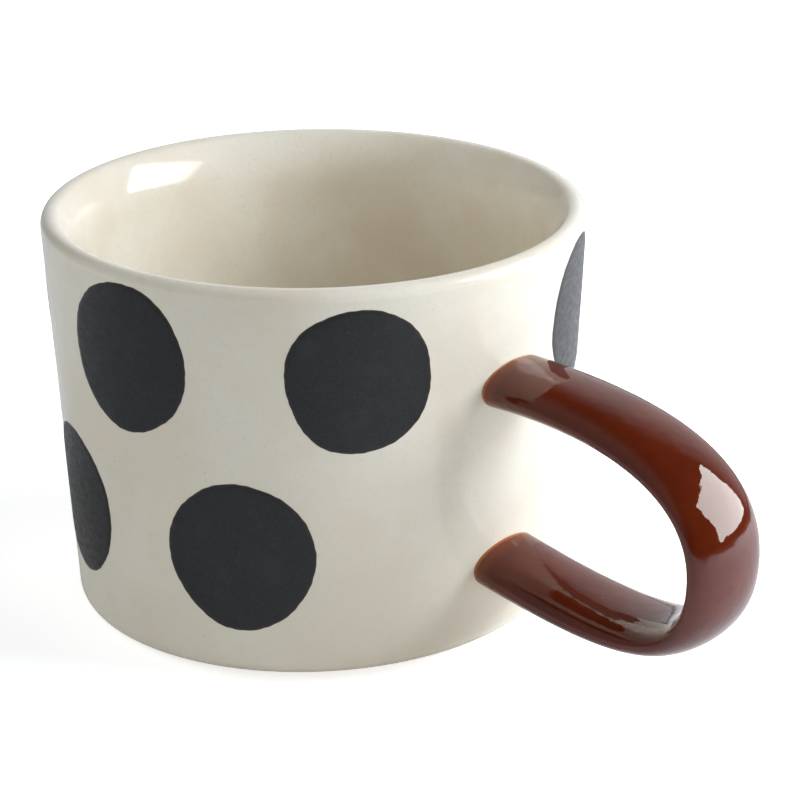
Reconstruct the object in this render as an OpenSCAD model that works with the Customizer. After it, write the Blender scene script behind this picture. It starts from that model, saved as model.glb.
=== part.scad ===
// Stoneware mug with a strap handle, painted all round with two rows of
// large dots.  Millimetres, +Z up.  The origin is the centre of the foot,
// on the table, and the handle points along +X.

/* [Cup] */
// Height of the cup from the table to the top of the lip
cup_h = 75.4; // [68:0.2:90]
// Radius of the glazed wall, carried straight down to the table
base_r = 46.1; // [44:0.1:50]
// Radius of the glazed wall, carried straight up to the top of the lip
rim_r = 50; // [48:0.1:56]
// Thickness of the glazed wall
wall_t = 6.2; // [5.4:0.1:7]
// Radius of the small round along the outer edge of the lip
lip_r = 1.9; // [1.4:0.1:2.4]
// Radius of the long round inside the lip, down to the full wall
flare_r = 14; // [10:0.5:18]
// Thickness of the floor in the middle, over the hollow of the foot
floor_t = 4.6; // [4:0.1:7]
// Radius of the outside corner between the wall and the foot
corner_r = 3.2; // [2.6:0.1:4.6]
// Radius of the inside corner between the floor and the wall
bowl_r = 9; // [6:0.5:14]

/* [Foot] */
// Outside radius of the bare ring that the cup stands on
foot_out_r = 37.6; // [35:0.1:38.4]
// Inside radius of that ring
foot_in_r = 31.6; // [27:0.1:33]
// Depth of the hollow inside the ring
hollow_h = 1.6; // [0.8:0.1:2.4]
// How far the ring stands out under the corner
foot_step = 0.6; // [0.4:0.1:1]

/* [Glaze] */
// Thickness of the fired glaze on the cup and the handle
glaze_t = 0.4; // [0.3:0.05:0.6]
// Where the outside glaze stops, in degrees round the corner below the wall
glaze_stop = 65; // [50:1:75]

/* [Handle] */
// Height of the upper joint's middle
upper_joint_z = 52.8; // [48:0.1:56]
// Height of the lower joint's middle
lower_joint_z = 18.3; // [16:0.1:24]
// Farthest reach of the handle's centre line from the cup's axis
reach = 95.1; // [86:0.1:104]
// Height at which it reaches farthest
reach_z = 31.3; // [28:0.1:36]
// Slope of the handle as it leaves the upper joint, in degrees
upper_slope = 2; // [-10:0.5:10]
// Slope of the handle as it leaves the lower joint, in degrees
lower_slope = -10.5; // [-20:0.5:0]
// Half of the strap's thickness at the bend
strap_half_t = 3.3; // [3:0.1:4.5]
// Half of its thickness at the joints
root_half_t = 4.7; // [4:0.1:5.5]
// Half of the strap's width at the bend
strap_half_w = 9.2; // [7:0.1:10]
// Half of its width at the joints
root_half_w = 8.1; // [7:0.1:10]

/* [Joints] */
// How far the slip lifts the handle's end off the glazed wall
joint_lift = 0.4; // [0.3:0.1:2]
// How far the slip is smoothed out over the wall, all round the handle
joint_spread = 4; // [2.5:0.1:4]

/* [Dots] */
// Thickness of the black paint, which lies on the glaze
dot_t = 0.15; // [0.1:0.05:0.3]
// How far the painted outline wanders, as a share of the dot's size
dot_wobble = 0.008; // [0:0.002:0.014]

/* [Hidden] */
// Each dot: degrees round from the handle (minus is clockwise from above),
// height of its middle, its size across, how oval it is and which way it
// leans, how square it is and its turn.
UPPER_DOTS = [
    [29, 59.3, 26.6, 0.02, 105, 0.01, 20],
    [-36.4, 58.6, 26.3, 0.018, 100, 0.017, -34],
    [-87.6, 59.3, 27.5, 0.026, 61, 0.01, -23],
    [-145.3, 59.1, 26.8, 0.02, 84, 0.012, 12],
    [-207, 58.9, 26.6, 0.026, 70, 0.008, 30],
    [-269, 59.3, 26.9, 0.022, 100, 0.014, -15]];
LOWER_DOTS = [
    [-62.3, 25, 27.9, 0.026, 72, 0.008, 0],
    [-113.7, 25.2, 27.8, 0.026, 66, 0.01, 25],
    [-176, 25.3, 27.4, 0.024, 80, 0.012, -8],
    [-238, 24.9, 27.6, 0.02, 108, 0.01, 18],
    [-300, 25.1, 27.2, 0.026, 75, 0.009, -25]];

function dot_names(row, dots) = [for (i = [1:len(dots)]) str(row, "_dot_", i)];
UPPER_NAMES = dot_names("upper", UPPER_DOTS);
LOWER_NAMES = dot_names("lower", LOWER_DOTS);

$fn = 288;
ARC_STEPS = 10;          // straight pieces in each arc of the cup's outline
RINGS = 44;              // cross-sections along the handle
RING_SIDES = 28;         // corners of each cross-section
PAD_RINGS = 5;           // rings in the smoothed slope of a slip joint
DOT_SIDES = 40;          // corners of a painted outline
ROOT_GROWTH = 4.2;       // how late the strap thickens towards its joints
UPPER_LEAD = 33.5;       // length of the curve's lead out of the upper joint
LOWER_LEAD = 33;         // and out of the lower joint
BEND_UP = 14.8;          // pull of the bend above its farthest point
BEND_DOWN = 17.7;        // and below it
INSIDE_WALL = 46;        // radius, inside the wall, where the curve starts
PAINT_REACH = 60;        // radius outside everything, where cutters end

lean = atan((rim_r - base_r) / cup_h);
lip_c = [wall_r(cup_h - lip_r) - lip_r / cos(lean), cup_h - lip_r];
flare_turn = acos((flare_r + lip_r - wall_t) / (flare_r - lip_r));
flare_from = 180 - lean - flare_turn;
flare_c = lip_c - (flare_r - lip_r) * [cos(flare_from), sin(flare_from)];
corner_z = corner_r + foot_step - glaze_t;
corner_c = [wall_r(corner_z) - corner_r / cos(lean), corner_z];
floor_z = hollow_h + floor_t;
bowl_z = floor_z + bowl_r;
bowl_c = [wall_r(bowl_z) - (wall_t + bowl_r) / cos(lean), bowl_z];

// Radius of the glazed wall at height z
function wall_r(z) = base_r + (rim_r - base_r) * z / cup_h;

// ---- The cup's outline, as points [radius, height] ----

function arc(c, r, from, to, first = 0) =
    [for (i = [first:ARC_STEPS]) let (a = from + (to - from) * i / ARC_STEPS)
        c + r * [cos(a), sin(a)]];
// The outside corner, from the foot round to where the straight wall starts
function corner(inset, from = -90) = arc(corner_c, corner_r - inset, from, -lean);
// The corner and the straight wall above it, up to the outer edge of the lip
function outside(inset, from = -90) =
    concat(corner(inset, from),
           [lip_c + (lip_r - inset) * [cos(lean), -sin(lean)]]);
// Over the lip, down the inside wall and in to the middle of the floor
function inside(inset) =
    concat(arc(lip_c, lip_r - inset, -lean, flare_from),
           arc(flare_c, flare_r - inset, flare_from, 180 - lean, 1),
           arc(bowl_c, bowl_r + inset, -lean, -90),
           [[0, floor_z - inset]]);
function backwards(points) = [for (i = [len(points) - 1:-1:0]) points[i]];
// The clay's foot, from the middle of the hollow out to the ring
FOOT = [
    [0, hollow_h], [foot_in_r - hollow_h, hollow_h], [foot_in_r, 0],
    [foot_out_r, 0], [foot_out_r + foot_step / 2, foot_step]];

module turned(points) {
    rotate_extrude() polygon(points);
}

// Everything inside the wall's clay surface, to trim what is stuck on it
module clay_block() {
    turned(concat([[0, foot_step]], outside(glaze_t), [[0, cup_h - glaze_t]]));
}

module cup_body() {
    color([0.78, 0.70, 0.58])
    turned(concat(FOOT, corner(glaze_t), inside(glaze_t)));
}

module inside_glaze() {
    color([0.93, 0.91, 0.85])
    turned(concat(inside(0), backwards(inside(glaze_t))));
}

module outside_glaze() {
    color([0.94, 0.92, 0.87])
    difference() {
        turned(concat(outside(0, -glaze_stop),
                      backwards(outside(glaze_t, -glaze_stop))));
        joint_window(UPPER_END);
        joint_window(LOWER_END);
    }
}

// ---- The handle's centre line, as points [radius, height] ----

UPPER_CURVE = [
    [INSIDE_WALL, upper_joint_z],
    [INSIDE_WALL, upper_joint_z] + UPPER_LEAD * [cos(upper_slope), sin(upper_slope)],
    [reach, reach_z + BEND_UP],
    [reach, reach_z]];
LOWER_CURVE = [
    [reach, reach_z],
    [reach, reach_z - BEND_DOWN],
    [INSIDE_WALL, lower_joint_z] + LOWER_LEAD * [cos(lower_slope), sin(lower_slope)],
    [INSIDE_WALL, lower_joint_z]];

function bezier(p, t) =
    pow(1 - t, 3) * p[0] + 3 * t * pow(1 - t, 2) * p[1]
    + 3 * t * t * (1 - t) * p[2] + pow(t, 3) * p[3];
function bezier_way(p, t) =
    pow(1 - t, 2) * (p[1] - p[0]) + 2 * t * (1 - t) * (p[2] - p[1])
    + t * t * (p[3] - p[2]);
// s runs from 0 in the upper joint to 1 in the lower one
function centre(s) = s < 0.5 ? bezier(UPPER_CURVE, 2 * s) : bezier(LOWER_CURVE, 2 * s - 1);
function way(s) =
    let (w = s < 0.5 ? bezier_way(UPPER_CURVE, 2 * s) : bezier_way(LOWER_CURVE, 2 * s - 1))
    w / norm(w);
// Where the centre line crosses radius r, by halving; near has the larger radius
function s_at(r, far, near, left = 24) =
    let (mid = (far + near) / 2)
    left == 0 ? mid
    : centre(mid)[0] < r ? s_at(r, mid, near, left - 1)
    : s_at(r, far, mid, left - 1);
function blend(s, bend, root) = bend + (root - bend) * pow(abs(2 * s - 1), ROOT_GROWTH);

UPPER_R = wall_r(upper_joint_z) + joint_lift;
LOWER_R = wall_r(lower_joint_z) + joint_lift;
UPPER_S = s_at(UPPER_R, 0, 0.25);
LOWER_S = s_at(LOWER_R, 1, 0.75);

// A cross-section: an oval across the centre line.  At the two ends it lies
// flat against the joint, so it is stretched by the slope there.
function ring(i, inset) =
    let (s = UPPER_S + (LOWER_S - UPPER_S) * i / (RINGS - 1),
         c = centre(s), w = way(s),
         half_t = blend(s, strap_half_t, root_half_t) - inset,
         half_w = blend(s, strap_half_w, root_half_w) - inset,
         flat = i == 0 || i == RINGS - 1,
         across = flat ? [0, sign(w[0]) / abs(w[0])] : [-w[1], w[0]])
    [for (k = [0:RING_SIDES - 1]) let (a = 360 * k / RING_SIDES)
        [c[0] + half_t * across[0] * cos(a), half_w * sin(a),
         c[1] + half_t * across[1] * cos(a)]];
function tube(inset) = [for (i = [0:RINGS - 1]) each ring(i, inset)];

// Triangles between two rings whose points start at numbers p and q
function band(p, q) =
    [for (k = [0:RING_SIDES - 1])
        let (n = (k + 1) % RING_SIDES)
        each [[p + k, q + n, q + k], [p + k, p + n, q + n]]];
// The skin over a run of rings, and the flat face on a single ring
function skin(rings, first = 0) =
    [for (i = [0:rings - 2]) each band(first + i * RING_SIDES, first + (i + 1) * RING_SIDES)];
function disc(first) = [for (k = [0:RING_SIDES - 1]) first + k];

module handle_strap() {
    last = (RINGS - 1) * RING_SIDES;
    color([0.78, 0.70, 0.58])
    polyhedron(tube(glaze_t),
               concat(skin(RINGS), [backwards(disc(0))], [disc(last)]));
}

module handle_glaze() {
    inner = RINGS * RING_SIDES;
    last = (RINGS - 1) * RING_SIDES;
    color([0.36, 0.15, 0.09])
    polyhedron(concat(tube(0), tube(glaze_t)),
               concat(skin(RINGS), [for (f = skin(RINGS, inner)) backwards(f)],
                      band(inner, 0), band(last, inner + last)));
}

// ---- The slip that sticks each end of the handle to the wall ----

// [radius of the flat end, height of its middle, half thickness, half width]
function handle_end(r, s) =
    [r, centre(s)[1], blend(s, strap_half_t, root_half_t) / abs(way(s)[0]),
     blend(s, strap_half_w, root_half_w)];
UPPER_END = handle_end(UPPER_R, UPPER_S);
LOWER_END = handle_end(LOWER_R, LOWER_S);

// One ring of the slope: u is 0 at the handle's end and 1 where it meets the wall
function pad_ring(end, u) =
    [for (k = [0:RING_SIDES - 1])
        let (a = 360 * k / RING_SIDES,
             y = -(end[3] + u * joint_spread) * sin(a),
             z = end[1] + (end[2] + u * joint_spread) * cos(a),
             wall_x = sqrt(pow(wall_r(z), 2) - y * y))
        [wall_x + (end[0] - wall_x) * pow(1 - u, 2), y, z]];
function pad_root(end) = [for (p = pad_ring(end, 1)) [INSIDE_WALL - wall_t, p[1], p[2]]];

module joint_pad(end) {
    rings = PAD_RINGS + 2;
    points = [for (i = [0:PAD_RINGS]) each pad_ring(end, i / PAD_RINGS)];
    polyhedron(concat(points, pad_root(end)),
               concat(skin(rings), [backwards(disc(0))],
                      [disc((rings - 1) * RING_SIDES)]));
}

// The opening that the slip leaves in the outside glaze
module joint_window(end) {
    rotate([90, 0, 90])
        linear_extrude(PAINT_REACH)
            polygon([for (p = pad_ring(end, 1)) [p[1], p[2]]]);
}

module joint_slip(end) {
    color([0.90, 0.87, 0.80])
    difference() {
        joint_pad(end);
        clay_block();
    }
}

// ---- The painted dots ----

// A nearly round outline: a little oval, a little square, and wandering
function dot_outline(dot) =
    [for (k = [0:DOT_SIDES - 1])
        let (a = 360 * k / DOT_SIDES,
             r = dot[2] / 2 * (1 + dot[3] * cos(2 * (a - dot[4]))
                               + dot[5] * cos(4 * (a - dot[6]))
                               + dot_wobble * sin(3 * a + 2 * dot[0] + 100)))
        r * [cos(a), sin(a)]];

module painted_dot(dot) {
    bottom = corner_z;
    top = cup_h - lip_r;
    color([0.13, 0.13, 0.14])
    intersection() {
        turned([[wall_r(bottom), bottom], [wall_r(bottom) + dot_t, bottom],
                [wall_r(top) + dot_t, top], [wall_r(top), top]]);
        rotate([0, 0, dot[0]])
            translate([0, 0, dot[1]])
                rotate([90, 0, 90])
                    linear_extrude(PAINT_REACH)
                        polygon(dot_outline(dot));
    }
}

cup_body();
inside_glaze();
outside_glaze();
handle_strap();
handle_glaze();
joint_slip(UPPER_END);  // upper_joint_slip
joint_slip(LOWER_END);  // lower_joint_slip
for (i = [0:len(UPPER_DOTS) - 1])
    painted_dot(UPPER_DOTS[i]);
for (i = [0:len(LOWER_DOTS) - 1])
    painted_dot(LOWER_DOTS[i]);
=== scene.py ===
"""How the stoneware mug looks: glaze, paint and clay, the light and the camera.

Metres, +Z up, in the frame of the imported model: the cup's axis is Z, the mug
stands on z = 0 and its handle points along +X.
"""

import math

import bpy
from mathutils import Matrix, Vector


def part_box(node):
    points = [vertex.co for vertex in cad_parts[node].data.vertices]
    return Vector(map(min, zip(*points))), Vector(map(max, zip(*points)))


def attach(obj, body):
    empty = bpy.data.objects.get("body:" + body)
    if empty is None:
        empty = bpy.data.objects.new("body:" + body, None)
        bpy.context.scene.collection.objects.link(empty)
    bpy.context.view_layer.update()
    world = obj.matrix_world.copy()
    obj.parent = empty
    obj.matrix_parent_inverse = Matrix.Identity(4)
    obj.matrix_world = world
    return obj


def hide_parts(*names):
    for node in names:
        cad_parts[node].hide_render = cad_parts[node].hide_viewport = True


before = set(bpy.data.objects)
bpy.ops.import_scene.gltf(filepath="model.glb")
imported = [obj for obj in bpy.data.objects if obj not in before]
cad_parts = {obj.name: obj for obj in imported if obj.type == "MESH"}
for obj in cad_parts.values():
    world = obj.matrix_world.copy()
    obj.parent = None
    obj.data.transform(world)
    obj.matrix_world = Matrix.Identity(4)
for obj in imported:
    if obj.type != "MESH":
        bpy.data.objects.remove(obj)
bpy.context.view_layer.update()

MM = 0.001

# ---------------------------------------------------------------- sizes

CUP_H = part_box("inside_glaze")[1][2]      # top of the lip
BASE_R = 46.1 * MM                        # the straight wall, carried to the table
RIM_R = 50 * MM                           # and to the top of the lip
WALL_T = 6.2 * MM
LIP_R = 1.9 * MM                          # round edge of the lip
FLARE_R = 14 * MM                         # long round inside it, down to the wall
GLAZE_T = 0.4 * MM
CORNER_R = 3.2 * MM                       # outside corner over the foot
BOWL_R = 9 * MM                           # inside corner over the floor
HOLLOW_H = 1.6 * MM                       # hollow under the foot
FLOOR_Z = HOLLOW_H + 4.6 * MM
FOOT_IN, FOOT_OUT = 31.6 * MM, 37.6 * MM  # the ring it stands on
FOOT_H = 0.6 * MM                         # and how far it stands out
GLAZE_STOP = 65                           # degrees round the corner, below the wall

LEAN = math.atan((RIM_R - BASE_R) / CUP_H)
FLARE_TURN = math.acos((FLARE_R + LIP_R - WALL_T) / (FLARE_R - LIP_R))

STRAP_T, ROOT_T = 3.3 * MM, 4.7 * MM      # half thickness: at the bend, at the joints
STRAP_W, ROOT_W = 9.2 * MM, 8.1 * MM      # half width, likewise
ROOT_GROWTH = 4.2
UPPER_Z, LOWER_Z = 52.8 * MM, 18.3 * MM
JOINT_LIFT = 0.4 * MM                     # the slip under each end of the strap
JOINT_SPREAD = 5 * MM                     # and how far it is smoothed out

PAINT_T = 0.15 * MM
HAIR = 0.02 * MM                          # a gap that keeps two faces apart
# The coat on the strap is drawn in by this much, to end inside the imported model
COAT_IN = 0.015 * MM
SLIP_T = 0.25 * MM                        # how deep the slip reaches into the clay
CORNER_MORE = 5 * MM                      # how much fuller the foot corner gets
CORNER_TURN = 12                          # and on which side, in degrees
CORNER_SPAN = 120
# Each dot: degrees round from the handle, height of its middle, its size across
# in mm, how oval it is and which way it leans, how square it is and its turn
UPPER_DOTS = [
    (29, 59.3, 26.6, 0.02, 105, 0.01, 20), (-36.4, 58.6, 26.3, 0.018, 100, 0.017, -34),
    (-87.6, 59.3, 27.5, 0.026, 61, 0.01, -23), (-145.3, 59.1, 26.8, 0.02, 84, 0.012, 12),
    (-207, 58.9, 26.6, 0.026, 70, 0.008, 30), (-269, 59.3, 26.9, 0.022, 100, 0.014, -15)]
LOWER_DOTS = [
    (-62.3, 25, 27.9, 0.026, 72, 0.008, 0), (-113.7, 25.2, 27.8, 0.026, 66, 0.01, 25),
    (-176, 25.3, 27.4, 0.024, 80, 0.012, -8), (-238, 24.9, 27.6, 0.02, 108, 0.01, 18),
    (-300, 25.1, 27.2, 0.026, 75, 0.009, -25)]


def wall_r(z):
    """Radius of the glazed wall at height z, before its unevenness."""
    return BASE_R + (RIM_R - BASE_R) * z / CUP_H


def sway(a, z):
    """How far the hand-made wall falls inside its true round at angle a."""
    t = z / CUP_H
    oval = 0.05 * (1 + math.cos(2 * a + 0.9)) * t
    slow = 0.04 * (1 + math.sin(3 * a + 2.1 * t + 0.4))
    ripple = 0.015 * (1 + math.sin(36 * t + 2 * math.sin(a)))
    return -(oval + slow + ripple) * MM


def corner_size(a):
    """Radius of the hand-smoothed corner over the foot: fuller to one side."""
    off = math.degrees(math.remainder(a, 2 * math.pi)) + CORNER_TURN
    if abs(off) > CORNER_SPAN:
        return CORNER_R
    return CORNER_R + CORNER_MORE * (0.5 + 0.5 * math.cos(math.pi * off / CORNER_SPAN))


# ---------------------------------------------------------------- meshes

def new_mesh(name, points, faces, sharp=40):
    """A smooth piece with a crease where two faces meet at more than the sharp angle."""
    mesh = bpy.data.meshes.new(name)
    mesh.from_pydata(points, [], faces)
    mesh.validate()
    mesh.shade_smooth()
    mesh.set_sharp_from_angle(angle=math.radians(sharp))
    piece = bpy.data.objects.new(name, mesh)
    bpy.context.collection.objects.link(piece)
    return piece


def arc(c, r, start, end, steps):
    """Points [radius, height] round c, from one angle to another in degrees."""
    angles = [math.radians(start + (end - start) * i / steps) for i in range(steps + 1)]
    return [(c[0] + r * math.cos(a), c[1] + r * math.sin(a)) for a in angles]


def straight(p, q, steps):
    """Points after p and before q."""
    return [(p[0] + (q[0] - p[0]) * i / steps, p[1] + (q[1] - p[1]) * i / steps)
            for i in range(1, steps)]


def even_angles(count):
    return [2 * math.pi * i / count for i in range(count)]


def handle_side_angles(fine, coarse):
    """Angles round the cup, closer together where the handle joins it."""
    edge = math.radians(20)
    near = [-edge + 2 * edge * i / fine for i in range(fine)]
    far = [edge + (2 * math.pi - 2 * edge) * i / coarse for i in range(coarse)]
    return near + far


def turned(name, outline_at, angles):
    """A closed solid turned round the axis. outline_at(angle) is its outline
    there, as (radius, height) points that close on themselves, or that start
    and end on the axis. It always has the same number of points."""
    outlines = [outline_at(a) for a in angles]
    rows, count = len(outlines[0]), len(angles)
    on_axis = [outlines[0][i][0] < 1e-9 for i in range(rows)]
    points, start = [], []
    for i in range(rows):
        start.append(len(points))
        if on_axis[i]:
            points.append((0, 0, outlines[0][i][1]))
            continue
        for a, outline in zip(angles, outlines):
            r, z = outline[i]
            points.append((r * math.cos(a), r * math.sin(a), z))
    faces = []
    for i in range(rows):
        j = (i + 1) % rows
        if on_axis[i] and on_axis[j]:
            continue
        for k in range(count):
            n = (k + 1) % count
            if on_axis[i]:
                faces.append((start[i], start[j] + k, start[j] + n))
            elif on_axis[j]:
                faces.append((start[i] + n, start[i] + k, start[j]))
            else:
                faces.append((start[i] + k, start[j] + k, start[j] + n, start[i] + n))
    piece = new_mesh(name, points, faces)
    make_outward(piece)
    return piece


def make_outward(piece):
    """Turns every face to look out of its solid."""
    mesh = piece.data
    volume = 0.0
    for f in mesh.polygons:
        c = [mesh.vertices[i].co for i in f.vertices]
        for k in range(1, len(c) - 1):
            volume += c[0].dot(c[k].cross(c[k + 1]))
    if volume < 0:
        mesh.flip_normals()


# Middles of the rounds of the cup's outline, and the angle where lip and flare meet
LIP_C = (wall_r(CUP_H - LIP_R) - LIP_R / math.cos(LEAN), CUP_H - LIP_R)
BOWL_Z = FLOOR_Z + BOWL_R
BOWL_C = (wall_r(BOWL_Z) - (WALL_T + BOWL_R) / math.cos(LEAN), BOWL_Z)
LEAN_DEG = math.degrees(LEAN)
MEET_DEG = 180 - LEAN_DEG - math.degrees(FLARE_TURN)
FLARE_C = (LIP_C[0] - (FLARE_R - LIP_R) * math.cos(math.radians(MEET_DEG)),
           LIP_C[1] - (FLARE_R - LIP_R) * math.sin(math.radians(MEET_DEG)))


def inside_outline(inset, rows):
    """Over the lip, down the inside and in to the middle of the floor."""
    lip = arc(LIP_C, LIP_R - inset, -LEAN_DEG, MEET_DEG, 18)
    flare = arc(FLARE_C, FLARE_R - inset, MEET_DEG, 180 - LEAN_DEG, 20)
    bowl = arc(BOWL_C, BOWL_R + inset, -LEAN_DEG, -90, 14)
    floor = (0, FLOOR_Z - inset)
    return (lip + flare[1:] + straight(flare[-1], bowl[0], rows) + bowl
            + straight(bowl[-1], floor, 8) + [floor])


def corner_outline(inset, start, size):
    """The corner over the foot, from the start angle up to the wall."""
    z = size + FOOT_H - GLAZE_T
    middle = (wall_r(z) - size / math.cos(LEAN), z)
    return arc(middle, size - inset, start, -LEAN_DEG, 14)


def outside_outline(inset, start, size, rows):
    """From the start angle round the foot corner, up to the edge of the lip."""
    corner = corner_outline(inset, start, size)
    r = LIP_R - inset
    top = (LIP_C[0] + r * math.cos(LEAN), LIP_C[1] - r * math.sin(LEAN))
    return corner + straight(corner[-1], top, rows) + [top]


# ---------------------------------------------------------------- the handle

def bezier(p, t):
    """A point on a cubic curve with four control points."""
    return [(1 - t) ** 3 * p[0][k] + 3 * t * (1 - t) ** 2 * p[1][k]
            + 3 * t * t * (1 - t) * p[2][k] + t ** 3 * p[3][k] for k in (0, 1)]


def lead(start, length, slope):
    """The control point that gives a curve its slope at the start."""
    a = math.radians(slope)
    return (start[0] + length * math.cos(a), start[1] + length * math.sin(a))


REACH, REACH_Z = 95.1 * MM, 31.3 * MM
UPPER_START, LOWER_START = (46 * MM, UPPER_Z), (46 * MM, LOWER_Z)
UPPER_CURVE = [UPPER_START, lead(UPPER_START, 33.5 * MM, 2),
               (REACH, REACH_Z + 14.8 * MM), (REACH, REACH_Z)]
LOWER_CURVE = [(REACH, REACH_Z), (REACH, REACH_Z - 17.7 * MM),
               lead(LOWER_START, 33 * MM, -10.5), LOWER_START]


def centre(s):
    """The strap's centre line: 0 in the upper joint, 1 in the lower one."""
    return bezier(UPPER_CURVE, 2 * s) if s < 0.5 else bezier(LOWER_CURVE, 2 * s - 1)


def way(s):
    """The direction in which it runs."""
    step = 0.0005
    p, q = centre(max(s - step, 0)), centre(min(s + step, 1))
    d = (q[0] - p[0], q[1] - p[1])
    size = math.hypot(*d)
    return d[0] / size, d[1] / size


def blend(s, bend, root):
    """A size that grows from its value at the bend to its value at the joints."""
    return bend + (root - bend) * abs(2 * s - 1) ** ROOT_GROWTH


def s_at(radius, far, near):
    """Where the centre line crosses a radius, by halving."""
    for _ in range(30):
        mid = (far + near) / 2
        if centre(mid)[0] < radius:
            far = mid
        else:
            near = mid
    return (far + near) / 2


UPPER_S = s_at(wall_r(UPPER_Z), 0, 0.25)
LOWER_S = s_at(wall_r(LOWER_Z), 1, 0.75)


def joint_oval(s):
    """Middle height, half height and half width of the strap where it meets the wall."""
    return (centre(s)[1], blend(s, STRAP_T, ROOT_T) / abs(way(s)[0]),
            blend(s, STRAP_W, ROOT_W))


JOINTS = [joint_oval(UPPER_S), joint_oval(LOWER_S)]


def joint_slope(a, z):
    """How far the slip fillets lift the glaze off the wall at angle a, height z."""
    y = wall_r(z) * math.sin(a)
    if math.cos(a) < 0.9:
        return 0.0
    lift = 0.0
    for mid, half_h, half_w in JOINTS:
        q = math.hypot(y / half_w, (z - mid) / half_h)
        gap = math.hypot(y, z - mid) * (1 - 1 / q) if q > 1 else 0.0
        if gap < JOINT_SPREAD:
            lift = max(lift, JOINT_LIFT * (1 - gap / JOINT_SPREAD) ** 3)
    return lift


END_REACH = 7 * MM       # how far up the strap its end is fitted to the wall


def strap_point(s, angle, inset):
    """A point on the strap's oval section, at an angle from its upper side."""
    c, w = centre(s), way(s)
    up = (blend(s, STRAP_T, ROOT_T) - inset) * math.cos(angle)
    side = (blend(s, STRAP_W, ROOT_W) - inset) * math.sin(angle)
    return (c[0] - w[1] * up, side, c[1] + w[0] * up)


def end_shift(s, inward, angle, inset):
    """How far the strap's flat end has to slide inward to lie on the round wall."""
    x, y, z = strap_point(s, angle, inset)
    shift = 0.0
    for _ in range(6):
        px, pz = x + shift * inward[0], z + shift * inward[1]
        wall = math.sqrt((wall_r(pz) + JOINT_LIFT * 0.9) ** 2 - y * y)
        shift += (px - wall) / -inward[0]
    return shift


def skin_faces(rows, sides):
    """Faces of an outer and an inner skin of closed rows, joined at both ends."""
    inner = rows * sides
    last = inner - sides
    faces = []
    for i in range(rows - 1):
        for k in range(sides):
            n = (k + 1) % sides
            p, q = i * sides, (i + 1) * sides
            faces.append((p + k, q + k, q + n, p + n))
            faces.append((inner + p + n, inner + q + n, inner + q + k, inner + p + k))
    for k in range(sides):
        n = (k + 1) % sides
        faces.append((n, inner + n, inner + k, k))
        faces.append((last + k, inner + last + k, inner + last + n, last + n))
    return faces


def strap_shell(name, rings=200, sides=72):
    """The glaze on the strap: an outer and an inner skin, joined at both ends."""
    spots = [UPPER_S + (LOWER_S - UPPER_S) * i / (rings - 1) for i in range(rings)]
    run = [0.0]
    for s, t in zip(spots, spots[1:]):
        run.append(run[-1] + math.dist(centre(s), centre(t)))
    upper_in = tuple(-v for v in way(UPPER_S))
    lower_in = way(LOWER_S)
    angles = even_angles(sides)
    points, from_end = [], []
    for inset in (COAT_IN, GLAZE_T):
        upper = [end_shift(UPPER_S, upper_in, a, inset) for a in angles]
        lower = [end_shift(LOWER_S, lower_in, a, inset) for a in angles]
        for s, far in zip(spots, run):
            near = min(far, run[-1] - far)
            share = max(0, 1 - near / END_REACH) ** 2
            slid, inward = (upper, upper_in) if far < run[-1] / 2 else (lower, lower_in)
            for a, shift in zip(angles, slid):
                x, y, z = strap_point(s, a, inset)
                shift *= share
                points.append((x + shift * inward[0], y, z + shift * inward[1]))
                from_end.append(near)
    piece = new_mesh(name, points, skin_faces(rings, sides))
    make_outward(piece)
    end = piece.data.attributes.new("from_end", "FLOAT", "POINT")
    for i, near in enumerate(from_end):
        end.data[i].value = near / MM
    return piece


def slip_fillet(name, joint, rings=14, sides=96):
    """The slip round one end of the handle, between the clay and the glaze."""
    mid, half_h, half_w = joint
    points = []
    for under in (False, True):
        for i in range(rings + 1):
            out = JOINT_SPREAD * (i / rings * 1.1 - 0.1)
            for angle in even_angles(sides):
                y = (half_w + out) * math.sin(angle)
                z = mid + (half_h + out) * math.cos(angle)
                a = math.asin(y / wall_r(z))
                r = wall_r(z) + sway(a, z) - GLAZE_T
                r += -SLIP_T if under else max(0, joint_slope(a, z) - HAIR)
                points.append((r * math.cos(a), r * math.sin(a), z))
    piece = new_mesh(name, points, skin_faces(rings + 1, sides))
    make_outward(piece)
    return piece


# ---------------------------------------------------------------- the dots

def dot_edge(dot, a):
    """The painted outline: its radius at angle a, as a share of the dot's size."""
    turn, _, _, oval, lean, square, corner = dot
    t = math.radians(turn)
    return (1 + oval * math.cos(2 * (a - math.radians(lean)))
            + square * math.cos(4 * (a - math.radians(corner)))
            + 0.008 * math.cos(3 * a + 2 * t + 0.17) + 0.004 * math.cos(5 * a + 3 * t)
            + 0.003 * math.sin(7 * a + 4 * t) + 0.0026 * math.sin(13 * a + 5 * t)
            + 0.002 * math.sin(29 * a + 7 * t) + 0.0016 * math.sin(43 * a + 3 * t))


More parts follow.
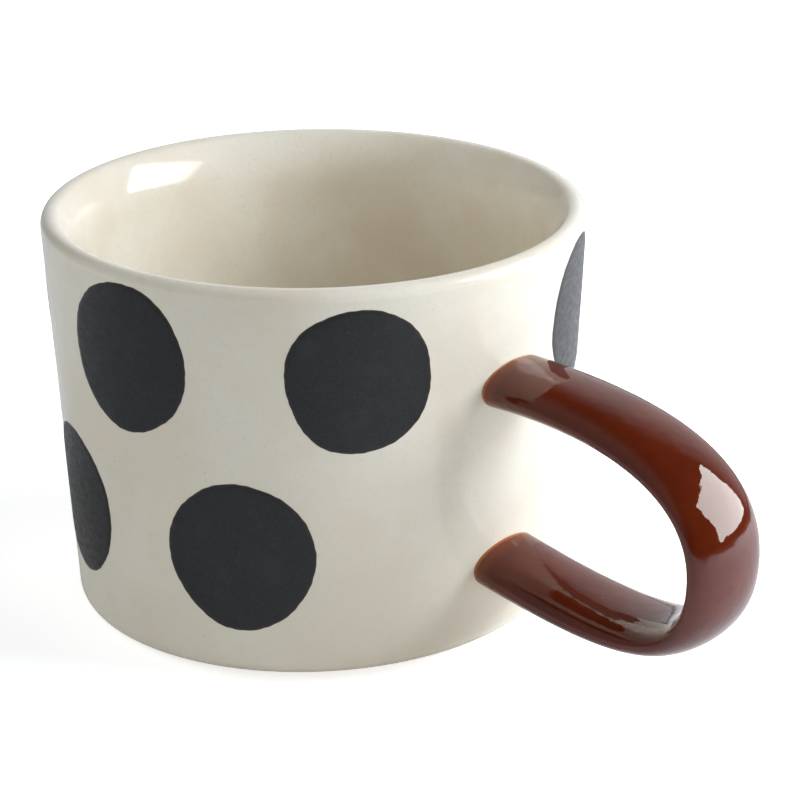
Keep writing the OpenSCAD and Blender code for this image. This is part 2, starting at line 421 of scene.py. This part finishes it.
def painted_dot(name, dot, rings=24, sides=180):
    """A thin cap of paint on the wall: its top, its edge and its underside."""
    turn, height, across = dot[:3]
    points, local = [], []
    for layer in (1, 0):
        for i in range(rings + 1):
            f = (i / rings) ** 0.7 if i else 0
            for a in even_angles(sides if i else 1):
                reach = f * dot_edge(dot, a) * across / 2 * MM
                u, v = reach * math.cos(a), reach * math.sin(a)
                z = height * MM + v
                angle = math.radians(turn) + u / wall_r(height * MM)
                thick = PAINT_T * min(1, 0.2 + (1 - f) * 16) if layer else 0.0
                r = wall_r(z) + sway(angle, z) + joint_slope(angle, z) + thick
                points.append((r * math.cos(angle), r * math.sin(angle), z))
                local.append((u, v, f))
    per = 1 + rings * sides
    faces = []
    for base in (0, per):
        for k in range(sides):
            n = (k + 1) % sides
            tri = (base, base + 1 + k, base + 1 + n)
            faces.append(tri if base == 0 else tri[::-1])
            for i in range(rings - 1):
                p, q = base + 1 + i * sides, base + 1 + (i + 1) * sides
                quad = (p + k, q + k, q + n, p + n)
                faces.append(quad if base == 0 else quad[::-1])
    rim = 1 + (rings - 1) * sides
    for k in range(sides):
        n = (k + 1) % sides
        faces.append((rim + k, per + rim + k, per + rim + n, rim + n))
    piece = new_mesh(name, points, faces, sharp=60)
    make_outward(piece)
    spot = piece.data.attributes.new("spot", "FLOAT_VECTOR", "POINT")
    for i, p in enumerate(local):
        spot.data[i].vector = p
    return piece


# ---------------------------------------------------------------- materials

class Shader:
    """A node material with short calls to add and join nodes."""

    def __init__(self, name):
        self.material = bpy.data.materials.new(name)
        self.material.use_nodes = True
        self.nodes = self.material.node_tree.nodes
        self.links = self.material.node_tree.links
        self.main = self.nodes["Principled BSDF"]
        self.place = self.nodes.new("ShaderNodeTexCoord").outputs["Object"]

    def put(self, value, socket):
        """Joins an output to the socket, or sets the socket to a fixed value."""
        if isinstance(value, bpy.types.NodeSocket):
            self.links.new(value, socket)
        elif value is not None:
            socket.default_value = value

    def noise(self, scale, detail=3.0, rough=0.5, at=None, stretch=None):
        node = self.nodes.new("ShaderNodeTexNoise")
        node.inputs["Scale"].default_value = scale
        node.inputs["Detail"].default_value = detail
        node.inputs["Roughness"].default_value = rough
        where = at or self.place
        if stretch:
            mapping = self.nodes.new("ShaderNodeMapping")
            mapping.inputs["Scale"].default_value = stretch
            self.links.new(where, mapping.inputs["Vector"])
            where = mapping.outputs["Vector"]
        self.links.new(where, node.inputs["Vector"])
        return node.outputs["Fac"]

    def cells(self, scale):
        """Distance to the middle of the nearest cell."""
        node = self.nodes.new("ShaderNodeTexVoronoi")
        node.inputs["Scale"].default_value = scale
        self.links.new(self.place, node.inputs["Vector"])
        return node.outputs["Distance"]

    def steps(self, value, lo, hi, out_lo=0.0, out_hi=1.0):
        """Takes a value from lo ... hi smoothly to out_lo ... out_hi."""
        node = self.nodes.new("ShaderNodeMapRange")
        node.interpolation_type = "SMOOTHSTEP"
        for name, v in (("Value", value), ("From Min", lo), ("From Max", hi),
                        ("To Min", out_lo), ("To Max", out_hi)):
            self.put(v, node.inputs[name])
        return node.outputs["Result"]

    def math(self, kind, a, b=None):
        node = self.nodes.new("ShaderNodeMath")
        node.operation = kind
        self.put(a, node.inputs[0])
        self.put(b, node.inputs[1])
        return node.outputs["Value"]

    def mix(self, factor, a, b):
        node = self.nodes.new("ShaderNodeMix")
        node.data_type = "RGBA"
        self.put(factor, node.inputs["Factor"])
        self.put(a, node.inputs["A"])
        self.put(b, node.inputs["B"])
        return node.outputs["Result"]

    def own(self, name, part="Fac"):
        """A value that the mesh carries in an attribute of that name."""
        node = self.nodes.new("ShaderNodeAttribute")
        node.attribute_name = name
        return node.outputs[part]

    def apart(self, vector):
        node = self.nodes.new("ShaderNodeSeparateXYZ")
        self.links.new(vector, node.inputs["Vector"])
        return node.outputs

    def bump(self, height, depth):
        """depth is the height in metres that a height of 1 stands for."""
        node = self.nodes.new("ShaderNodeBump")
        node.inputs["Strength"].default_value = 1.0
        node.inputs["Distance"].default_value = depth
        self.links.new(height, node.inputs["Height"])
        self.links.new(node.outputs["Normal"], self.main.inputs["Normal"])

    def set(self, **sockets):
        for name, value in sockets.items():
            self.put(value, self.main.inputs[name.replace("_", " ")])


def rgb(r, g, b):
    """A linear colour from an sRGB one given in 0 to 255."""
    def linear(v):
        v /= 255
        return v / 12.92 if v <= 0.04045 else ((v + 0.055) / 1.055) ** 2.4
    return (linear(r), linear(g), linear(b), 1.0)


def cream_glaze(name, thick, thin):
    """Gloss cream, with a colour for its thick and one for its thin places."""
    s = Shader(name)
    cloudy = s.steps(s.noise(34, 4, 0.6), 0.34, 0.66)
    colour = s.mix(cloudy, thick, thin)
    warm = s.steps(s.noise(90, 3, 0.5), 0.52, 0.75, 0.0, 0.45)
    colour = s.mix(warm, colour, rgb(231, 217, 196))
    grain = s.steps(s.noise(1300, 3, 0.6), 0.5, 0.75, 0.0, 0.3)
    colour = s.mix(grain, colour, rgb(218, 208, 188))
    speck = s.steps(s.cells(420), 0.10, 0.05, 0.0, 0.4)
    rare = s.steps(s.noise(160, 1), 0.60, 0.66)
    colour = s.mix(s.math("MULTIPLY", speck, rare), colour, rgb(168, 150, 122))
    s.set(Base_Color=colour, Roughness=s.steps(s.noise(60), 0.3, 0.7, 0.09, 0.16), IOR=1.5)
    waves = s.math("ADD", s.noise(110, 2), s.math("MULTIPLY", s.noise(700, 2), 0.03))
    s.bump(waves, 0.08 * MM)
    return s.material


def chestnut_glaze():
    """Clear brown, paler where it thins out at the ends of the handle."""
    s = Shader("chestnut_glaze")
    streaks = s.steps(s.noise(60, 4, 0.6), 0.3, 0.7)
    colour = s.mix(streaks, rgb(84, 28, 10), rgb(98, 36, 14))
    pooled = s.steps(s.noise(240, 3, 0.5), 0.55, 0.75, 0.0, 0.5)
    colour = s.mix(pooled, colour, rgb(72, 22, 9))
    from_end = s.own("from_end")
    colour = s.mix(s.steps(from_end, 0.3, 3.2, 0.75, 0.0), colour, rgb(122, 56, 24))
    colour = s.mix(s.steps(from_end, 0.1, 0.7, 0.9, 0.0), colour, rgb(186, 112, 62))
    speck = s.steps(s.cells(500), 0.12, 0.06, 0.0, 0.5)
    rare = s.steps(s.noise(210, 1), 0.62, 0.67)
    colour = s.mix(s.math("MULTIPLY", speck, rare), colour, rgb(150, 96, 66))
    s.set(Base_Color=colour, Roughness=s.steps(s.noise(120), 0.3, 0.7, 0.02, 0.05), IOR=1.52)
    waves = s.math("ADD", s.noise(130, 2), s.math("MULTIPLY", s.noise(520, 2), 0.22))
    s.bump(waves, 0.13 * MM)
    return s.material


def black_paint():
    """Satin black with brush marks, and a brown edge where it is thin."""
    s = Shader("black_paint")
    spot = s.own("spot", "Vector")
    brush = s.noise(800, 4, 0.65, at=spot, stretch=(0.55, 1.0, 0))
    grain = s.noise(2400, 2, 0.6)
    blot = s.noise(190, 4, 0.6)
    colour = s.mix(s.steps(brush, 0.35, 0.7), rgb(5, 5, 7), rgb(14, 14, 16))
    colour = s.mix(s.steps(grain, 0.4, 0.75, 0.0, 0.5), colour, rgb(36, 36, 41))
    colour = s.mix(s.steps(blot, 0.48, 0.72, 0.0, 0.6), colour, rgb(31, 31, 32))
    fleck = s.steps(s.cells(650), 0.12, 0.06, 0.0, 0.5)
    rare = s.steps(s.noise(230, 1), 0.58, 0.64)
    colour = s.mix(s.math("MULTIPLY", fleck, rare), colour, rgb(70, 68, 66))
    edge = s.steps(s.apart(spot)["Z"], 0.965, 1.0, 0.0, 0.6)
    colour = s.mix(edge, colour, rgb(70, 50, 36))
    s.set(Base_Color=colour, Roughness=s.steps(brush, 0.3, 0.7, 0.34, 0.48),
          Specular_IOR_Level=0.48)
    relief = s.math("ADD", s.math("MULTIPLY", brush, 0.6), s.math("MULTIPLY", grain, 0.35))
    s.bump(s.math("ADD", relief, s.math("MULTIPLY", blot, 0.8)), 0.07 * MM)
    return s.material


def bare_clay():
    """Matte buff clay with a few dark specks."""
    s = Shader("bare_clay")
    grain = s.noise(900, 5, 0.7)
    colour = s.mix(s.steps(grain, 0.3, 0.7), rgb(196, 172, 138), rgb(216, 196, 164))
    speck = s.steps(s.cells(900), 0.20, 0.10, 0.0, 0.6)
    rare = s.steps(s.noise(300, 1), 0.56, 0.62)
    colour = s.mix(s.math("MULTIPLY", speck, rare), colour, rgb(120, 92, 66))
    s.set(Base_Color=colour, Roughness=s.steps(grain, 0.2, 0.8, 0.72, 0.9))
    s.bump(grain, 0.15 * MM)
    return s.material


def floor_white():
    """Pale paper with a patch of painted glare: the floor glows beside the mug, towards the
    window. The camera sees it as plain white.
    """
    s = Shader("studio_floor")
    place = s.nodes.new("ShaderNodeTexCoord").outputs["Object"]
    away = s.nodes.new("ShaderNodeVectorMath")
    away.operation = "DISTANCE"
    s.links.new(place, away.inputs[0])
    away.inputs[1].default_value = towards(75, 0) * 0.22
    # Painted glare: the floor glows in a patch beside the mug, towards the window, and lights
    # the mug from below
    painted_glare = s.steps(away.outputs["Value"], 0.0, 0.34, PAINTED_GLARE, 0.0)
    seen = s.nodes.new("ShaderNodeLightPath").outputs["Is Camera Ray"]
    s.set(Base_Color=s.mix(s.noise(3), rgb(240, 240, 240), rgb(238, 238, 238)), Roughness=0.9,
          Emission_Color=(1, 1, 1, 1),
          Emission_Strength=s.math("ADD", s.math("MULTIPLY", seen, FLOOR_SEEN), painted_glare))
    return s.material


# ---------------------------------------------------------------- the pieces

def dress(piece, material, node):
    """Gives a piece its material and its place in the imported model."""
    piece.data.materials.append(material)
    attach(piece, "root")
    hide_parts(node)


def swayed(outline, a):
    """Draws an outline in by the wall's unevenness, less and less towards the axis."""
    return [(r + sway(a, z) * min(1, r / BASE_R), z) for r, z in outline]


def make_inside_glaze(material):
    outline = inside_outline(0, 40) + inside_outline(GLAZE_T, 40)[::-1]
    piece = turned("inside_glaze_coat", lambda a: swayed(outline, a), even_angles(256))
    dress(piece, material, "inside_glaze")


def make_outside_glaze(material):
    def outline_at(a):
        size = corner_size(a)
        outer = outside_outline(0, -GLAZE_STOP, size, 190)
        inner = outside_outline(GLAZE_T, -GLAZE_STOP, size, 50)
        whole = outer + inner[::-1]
        return [(r + sway(a, z) + joint_slope(a, z), z) for r, z in whole]
    piece = turned("outside_glaze_coat", outline_at, handle_side_angles(110, 190))
    dress(piece, material, "outside_glaze")


def make_cup_body(material):
    inside = inside_outline(GLAZE_T, 40)

    def outline_at(a):
        foot = [(0, HOLLOW_H), (FOOT_IN - HOLLOW_H, HOLLOW_H), (FOOT_IN, 0),
                (FOOT_OUT, 0), (FOOT_OUT + FOOT_H / 2, FOOT_H)]
        wall = outside_outline(GLAZE_T, -90, corner_size(a), 40)
        return foot + swayed(wall[:-1] + inside, a)
    piece = turned("cup_clay", outline_at, even_angles(192))
    dress(piece, material, "cup_body")


def make_handle_glaze(material):
    dress(strap_shell("handle_glaze_coat"), material, "handle_glaze")


def make_slips(material):
    for row, joint in zip(("upper", "lower"), JOINTS):
        piece = slip_fillet(f"{row}_slip_fillet", joint)
        dress(piece, material, f"{row}_joint_slip")


def make_dots(material):
    for row, dots in (("upper", UPPER_DOTS), ("lower", LOWER_DOTS)):
        for i, dot in enumerate(dots):
            node = f"{row}_dot_{i + 1}"
            dress(painted_dot(f"{node}_paint", dot), material, node)


def cad_material(node, material):
    """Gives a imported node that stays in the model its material."""
    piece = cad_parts[node]
    piece.data.materials.clear()
    piece.data.materials.append(material)


# ---------------------------------------------------------------- the studio

FLOOR_SEEN = 0.6          # how much paler the camera sees the floor
PAINTED_GLARE = 0.45              # painted glare: how much the floor glows beside the mug, towards the window
FLOOR_HALF = 6.0
DAYLIGHT = (0.96, 1.02, 1.12)
ROOM_LIGHT = (0.98, 1.01, 1.03)
# Soft shapes in the room: azimuth, elevation, where each fades in and is full
# (as the cosine off its middle), and its brightness
PALE_WALL = (-115, 35, 0.45, 0.85, 0.3)
BACKDROP = (15, 8, 0.6, 0.95, 0.78)
# Panels: azimuth, elevation, distance, size in metres, brightness
WINDOW = (95, 36, 0.6, (0.36, 0.46), 7.4)
WINDOW_LOW = (74, 8, 0.5, (0.34, 0.16), 2.8)
WINDOW_SHINE = (93.2, 20.7, 0.459, (0.315, 0.291), 9.0)
SHINE = (1, 1, 0.97)
LEFT_FILL = (-75, 15, 0.8, (0.5, 0.45), 2.7)
FRONT_FILL = (165, 12, 0.8, (0.5, 0.45), 1.8)


def make_floor():
    """A flat floor a hair under the foot, so that the two don't flicker."""
    far = FLOOR_HALF
    corners = [(x, y, -HAIR) for x, y in ((-far, -far), (far, -far), (far, far), (-far, far))]
    floor = new_mesh("studio_floor", corners, [(0, 1, 2, 3)])
    floor.data.materials.append(floor_white())


CAMERA_TURN = 43.36       # degrees round from -Y towards the handle
CAMERA_TILT = 21.75       # degrees above the table
CAMERA_ROLL = 0.51
CAMERA_BACK = 507.1 * MM  # from the point it looks past, on the cup's axis
CAMERA_SIDE = 15.5 * MM
CAMERA_DROP = 1.7 * MM
CAMERA_LENS = 121.26      # on a 36 mm sensor
LOOK_Z = 38 * MM


def camera_axes():
    """Right, up and back of the level camera."""
    a, e = math.radians(CAMERA_TURN), math.radians(CAMERA_TILT)
    back = Vector((math.sin(a) * math.cos(e), -math.cos(a) * math.cos(e), math.sin(e)))
    right = Vector((math.cos(a), math.sin(a), 0))
    return right, back.cross(right), back


def make_camera():
    """The photograph's viewing angle."""
    right, up, back = camera_axes()
    place = Vector((0, 0, LOOK_Z)) + back * CAMERA_BACK + right * CAMERA_SIDE - up * CAMERA_DROP
    roll = math.radians(CAMERA_ROLL)
    rolled_right = right * math.cos(roll) - up * math.sin(roll)
    rolled_up = right * math.sin(roll) + up * math.cos(roll)
    turn = Matrix((rolled_right, rolled_up, back)).transposed().to_4x4()
    camera = bpy.data.objects.new("camera", bpy.data.cameras.new("camera"))
    camera.data.lens = CAMERA_LENS
    camera.data.sensor_width = 36
    camera.data.clip_start = 0.01
    camera.data.clip_end = 50
    camera.matrix_world = Matrix.Translation(place) @ turn
    bpy.context.collection.objects.link(camera)
    bpy.context.scene.camera = camera


def towards(azimuth, elevation):
    """A direction: azimuth 0 is straight past the mug, 90 to the camera's right."""
    right, _, back = camera_axes()
    ahead = Vector((-back.x, -back.y, 0)).normalized()
    a, e = math.radians(azimuth), math.radians(elevation)
    level = right * math.sin(a) + ahead * math.cos(a)
    return level * math.cos(e) + Vector((0, 0, math.sin(e)))


def soft_shape(nodes, links, place, shape):
    """A world light that swells towards one direction, from 0 to its brightness."""
    azimuth, elevation, start, full, brightness = shape
    facing = nodes.new("ShaderNodeVectorMath")
    facing.operation = "DOT_PRODUCT"
    links.new(place, facing.inputs[0])
    facing.inputs[1].default_value = towards(azimuth, elevation)
    swell = nodes.new("ShaderNodeMapRange")
    swell.interpolation_type = "SMOOTHSTEP"
    swell.inputs["From Min"].default_value = start
    swell.inputs["From Max"].default_value = full
    swell.inputs["To Min"].default_value = 0.01
    swell.inputs["To Max"].default_value = brightness
    links.new(facing.outputs["Value"], swell.inputs["Value"])
    return swell.outputs["Result"]


def make_world():
    """A dim room with a pale wall to the left of the camera and a pale backdrop.
    The camera itself sees white behind everything."""
    world = bpy.data.worlds.new("studio")
    bpy.context.scene.world = world
    world.use_nodes = True
    nodes, links = world.node_tree.nodes, world.node_tree.links
    place = nodes.new("ShaderNodeTexCoord").outputs["Generated"]
    both = nodes.new("ShaderNodeMath")
    both.operation = "ADD"
    for socket, shape in zip(both.inputs, (PALE_WALL, BACKDROP)):
        links.new(soft_shape(nodes, links, place, shape), socket)
    room = nodes["Background"]
    room.inputs["Color"].default_value = (*ROOM_LIGHT, 1)
    links.new(both.outputs["Value"], room.inputs["Strength"])
    white = nodes.new("ShaderNodeBackground")
    white.inputs["Color"].default_value = (1, 1, 1, 1)
    white.inputs["Strength"].default_value = 1.0
    seen = nodes.new("ShaderNodeLightPath")
    mix = nodes.new("ShaderNodeMixShader")
    links.new(seen.outputs["Is Camera Ray"], mix.inputs["Fac"])
    links.new(room.outputs["Background"], mix.inputs[1])
    links.new(white.outputs["Background"], mix.inputs[2])
    links.new(mix.outputs["Shader"], nodes["World Output"].inputs["Surface"])


def soft_panel(name, azimuth, elevation, distance, size, brightness, colour,
               aim=(0, 0, LOOK_Z)):
    """A glowing rectangle turned to the mug, which the camera itself doesn't see."""
    light = bpy.data.lights.new(name, "AREA")
    light.shape = "RECTANGLE"
    light.size, light.size_y = size
    light.energy = brightness * math.pi * size[0] * size[1]
    light.color = colour
    lamp = bpy.data.objects.new(name, light)
    lamp.location = Vector((0, 0, LOOK_Z)) + towards(azimuth, elevation) * distance
    lamp.rotation_mode = "QUATERNION"
    lamp.rotation_quaternion = (Vector(aim) - lamp.location).to_track_quat("-Z", "Y")
    lamp.visible_camera = False
    bpy.context.collection.objects.link(lamp)
    return lamp


def make_lights():
    """A window to the camera's right and two pale screens. What the glazes mirror
    of the window is a panel of its own, turned to the bend of the handle."""
    panels = (("window", WINDOW, DAYLIGHT), ("window_low", WINDOW_LOW, DAYLIGHT),
              ("left_fill", LEFT_FILL, ROOM_LIGHT), ("front_fill", FRONT_FILL, ROOM_LIGHT))
    for name, panel, colour in panels:
        lamp = soft_panel(name, *panel, colour)
        lamp.visible_glossy = False
    bend = (REACH, 0, REACH_Z)
    shine = soft_panel("window_shine", *WINDOW_SHINE, SHINE, bend)
    shine.visible_diffuse = False


def main():
    scene = bpy.context.scene
    scene.view_settings.view_transform = "Standard"
    cream = cream_glaze("cream_glaze", rgb(234, 228, 211), rgb(228, 219, 199))
    # The inside gets a paler copy of the cream glaze: painted light that lifts the shade inside
    # the cup
    cream_painted_paler = cream_glaze("inside_cream_painted_paler", rgb(239, 232, 215), rgb(231, 220, 199))
    chestnut = chestnut_glaze()
    black = black_paint()
    clay = bare_clay()
    make_cup_body(clay)
    make_inside_glaze(cream_painted_paler)
    make_outside_glaze(cream)
    make_handle_glaze(chestnut)
    make_slips(cream)
    make_dots(black)
    cad_material("handle_strap", clay)
    make_floor()
    make_world()
    make_camera()
    make_lights()


main()
